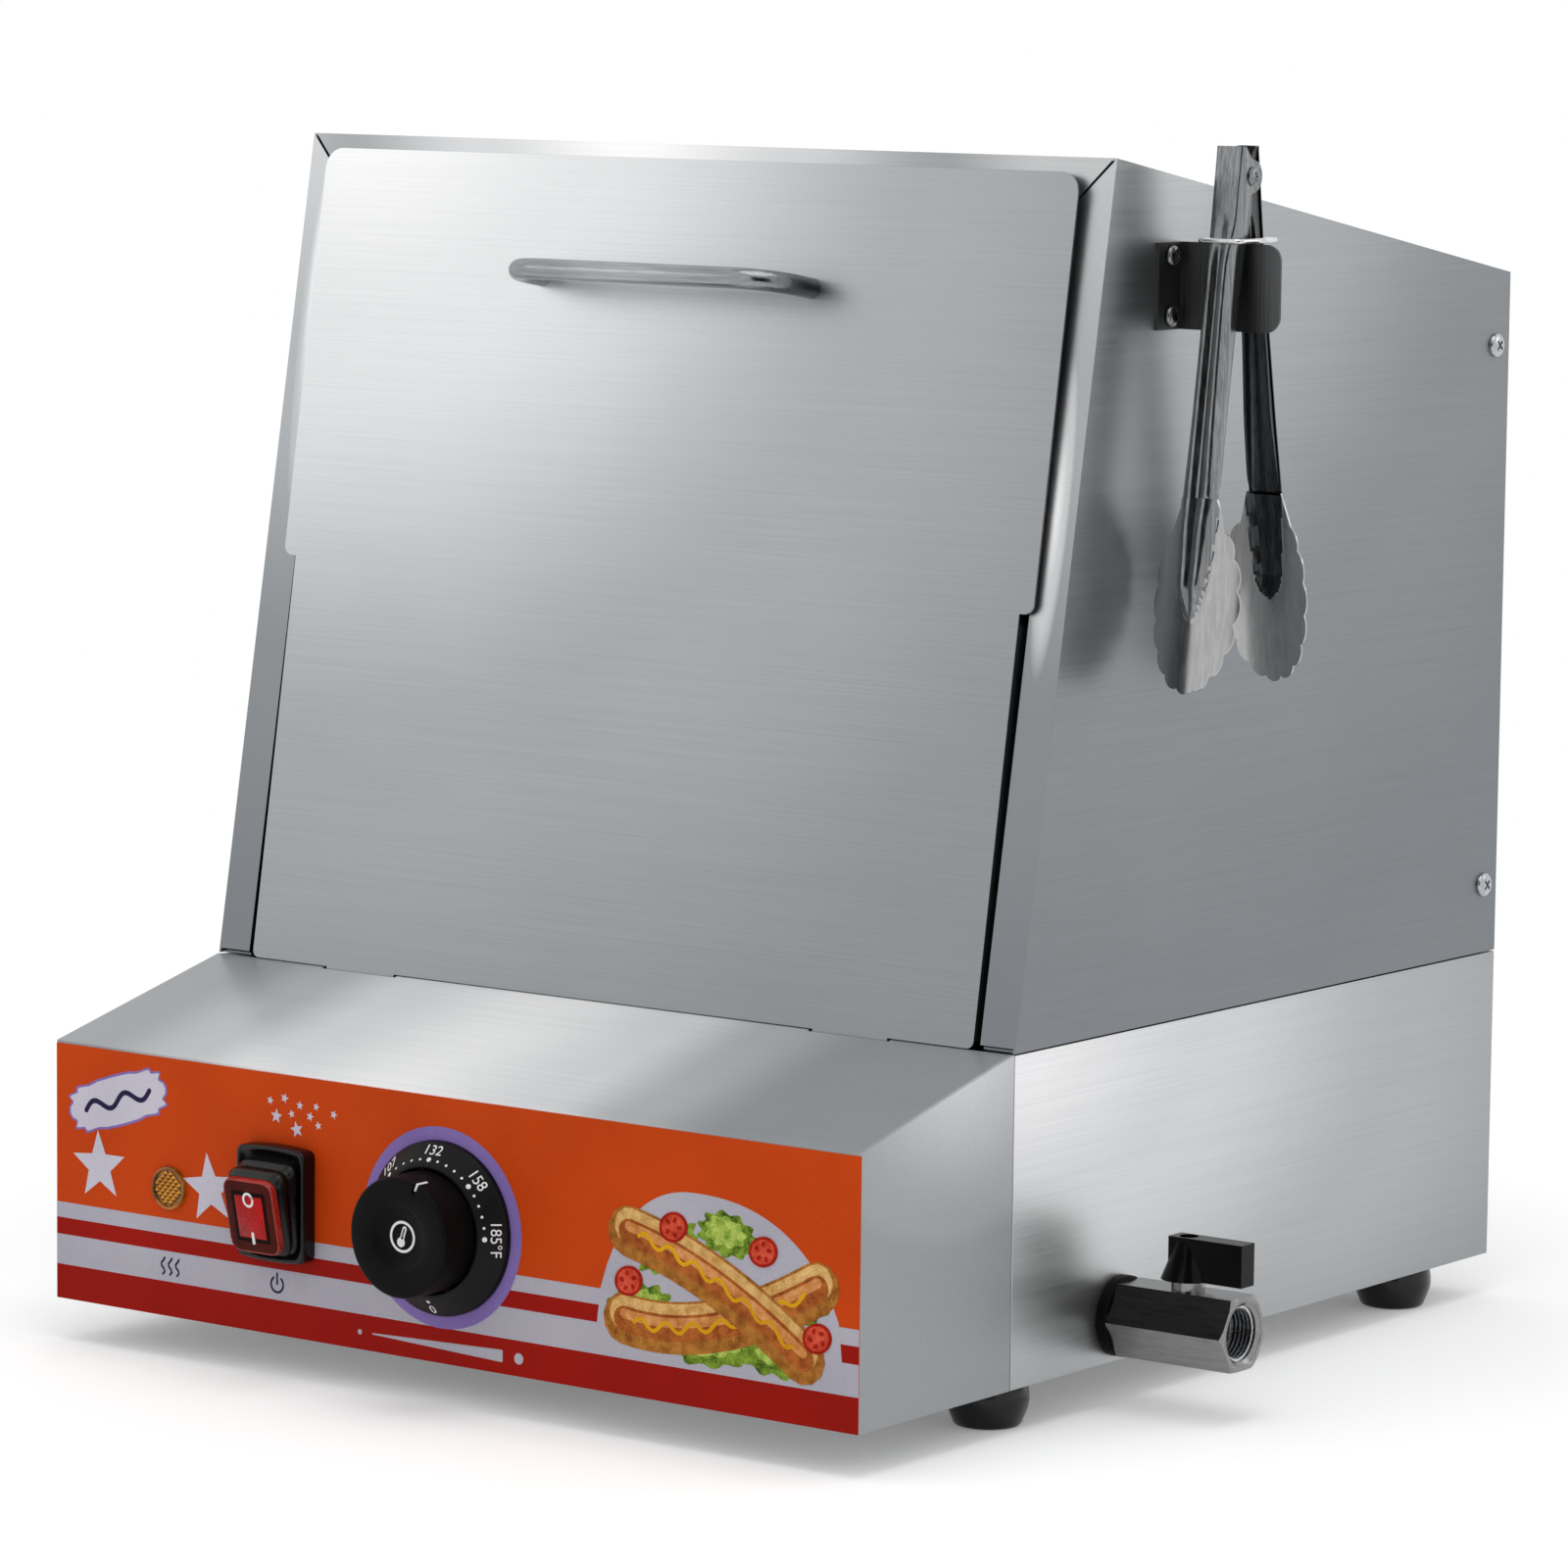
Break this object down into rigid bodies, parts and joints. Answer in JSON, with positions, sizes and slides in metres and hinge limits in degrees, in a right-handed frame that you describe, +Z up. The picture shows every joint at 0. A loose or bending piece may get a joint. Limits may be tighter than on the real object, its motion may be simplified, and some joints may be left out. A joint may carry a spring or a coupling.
{
  "type": "hot dog steamer",
  "caption": "Counter-top stainless steamer cabinet with a leaning drop-down door, water tank, slide-in trays, rotary thermostat, side drain valve and hanging serving tongs.",
  "frame": {"origin": "bottom centre of the whole part's box, on the plane under the feet", "axes": "+X to the user's right, towards the drain valve and the tongs; +Y from the control panel to the rear; +Z up"},
  "size_m": [0.4462, 0.456, 0.464],
  "materials": {
    "brushed_stainless": "brushed stainless sheet, satin",
    "tank_stainless": "stainless sheet, dull",
    "door_stainless": "brushed stainless sheet, grain across",
    "bar_steel": "polished round bar",
    "zinc_fastener": "bright plated",
    "rail_stainless": "bent stainless sheet",
    "tray_stainless": "drawn stainless sheet",
    "foot_rubber": "matt black moulded rubber",
    "printed_film": "gloss printed film, orange and purple",
    "dial_plastic": "black moulding",
    "knob_plastic": "black moulding, semi-gloss",
    "switch_plastic": "black nylon",
    "switch_frame_plastic": "black flexible moulding",
    "lamp_amber": "clear amber moulding",
    "lamp_plastic": "white moulding",
    "bakelite": "phenolic moulding",
    "element_sheath": "heat-darkened steel sheath",
    "copper": "bare copper",
    "valve_brass_plated": "nickel-plated brass",
    "seat_white": "white fluoropolymer",
    "lever_black": "black moulded lever",
    "washer_rubber": "black rubber",
    "tong_stainless": "pressed stainless sheet",
    "ring_wire": "bright wire"
  },
  "bodies": {
    "cabinet": {"tank_floor": "tank_stainless", "tank_left_wall": "brushed_stainless", "tank_right_wall": "brushed_stainless", "tank_rear_wall": "tank_stainless", "tank_front_wall": "tank_stainless", "feet": "foot_rubber", "foot_nuts": "zinc_fastener", "control_box_shell": "brushed_stainless", "control_box_bottom_cover": "tank_stainless", "control_box_screws": "zinc_fastener", "control_panel_overlay": "printed_film", "left_side_panel": "brushed_stainless", "right_side_panel": "brushed_stainless", "top_panel": "brushed_stainless", "rear_panel": "brushed_stainless", "side_screws": "zinc_fastener", "left_tray_rails": "rail_stainless", "right_tray_rails": "rail_stainless", "heating_element": "element_sheath", "element_glands": "valve_brass_plated", "element_supports": "rail_stainless", "thermostat_body": "bakelite", "thermostat_bulb": "copper", "capillary_gland": "washer_rubber", "high_limit_cutout": "bakelite", "terminal_block": "lamp_plastic", "cord_gland": "switch_plastic", "dial_bezel": "dial_plastic", "switch_body": "switch_plastic", "switch_frame": "switch_frame_plastic", "pilot_lamp_lens": "lamp_amber", "pilot_lamp_body": "lamp_plastic", "drain_washer": "washer_rubber", "drain_nut": "zinc_fastener", "valve_body": "valve_brass_plated", "valve_seats": "seat_white", "valve_retainer": "valve_brass_plated", "tong_bracket": "brushed_stainless", "bracket_screws": "zinc_fastener"},
    "door": {"door_skin": "door_stainless", "door_liner": "tray_stainless", "door_handle": "bar_steel", "handle_screws": "zinc_fastener", "door_bumpers": "washer_rubber"},
    "lower_tray": {"hot_dog_tray": "tray_stainless"},
    "upper_tray": {"bun_tray": "tray_stainless"},
    "divider": {"tray_divider": "tray_stainless"},
    "knob": {"thermostat_knob": "knob_plastic", "thermostat_shaft": "bar_steel"},
    "rocker": {"switch_rocker": "switch_plastic"},
    "valve_handle": {"valve_ball": "bar_steel", "valve_stem": "valve_brass_plated", "valve_lever": "lever_black", "lever_screw": "zinc_fastener"},
    "tongs": {"tong_arm_front": "tong_stainless", "tong_rivet": "bar_steel", "tong_spring": "bar_steel"},
    "tongs_rear": {"tong_arm_rear": "tong_stainless"},
    "tongs_ring": {"tong_ring": "ring_wire"}
  },
  "joints": [
    {"name": "door_hinge", "type": "hinge", "parent": "cabinet", "child": "door", "pos_m": [-0.0231, -0.1097, 0.13975], "axis": [1, 0, 0], "range_deg": [0, 112]},
    {"name": "lower_tray_slide", "type": "slide", "parent": "cabinet", "child": "lower_tray", "axis": [0, -1, 0], "range_m": [0, 0.012]},
    {"name": "upper_tray_slide", "type": "slide", "parent": "cabinet", "child": "upper_tray", "axis": [0, -1, 0], "range_m": [0, 0.015]},
    {"name": "divider_slide", "type": "slide", "parent": "lower_tray", "child": "divider", "axis": [1, 0, 0], "range_m": [-0.15, 0.15]},
    {"name": "thermostat_turn", "type": "hinge", "parent": "cabinet", "child": "knob", "pos_m": [-0.0221, -0.202, 0.067], "axis": [0, -1, 0], "range_deg": [-67, 203]},
    {"name": "power_switch", "type": "hinge", "parent": "cabinet", "child": "rocker", "pos_m": [-0.0996, -0.2035, 0.0674], "axis": [1, 0, 0], "range_deg": [-24, 0]},
    {"name": "drain_valve", "type": "hinge", "parent": "cabinet", "child": "valve_handle", "pos_m": [0.1974, -0.039, 0.0335], "axis": [0, 0, 1], "range_deg": [-90, 0]},
    {"name": "tongs_lift", "type": "slide", "parent": "cabinet", "child": "tongs", "axis": [0, 0, 1], "range_m": [0, 0.22]},
    {"name": "tongs_pivot", "type": "hinge", "parent": "tongs", "child": "tongs_rear", "pos_m": [0.1919, -0.0102, 0.453], "axis": [-1, 0, 0], "range_deg": [0, 7], "stiffness_Nm_per_rad": 0.5, "deforming": ["tong_spring"]},
    {"name": "ring_slide", "type": "slide", "parent": "tongs", "child": "tongs_ring", "axis": [0, 0, 1], "range_m": [0, 0.015]}
  ]
}
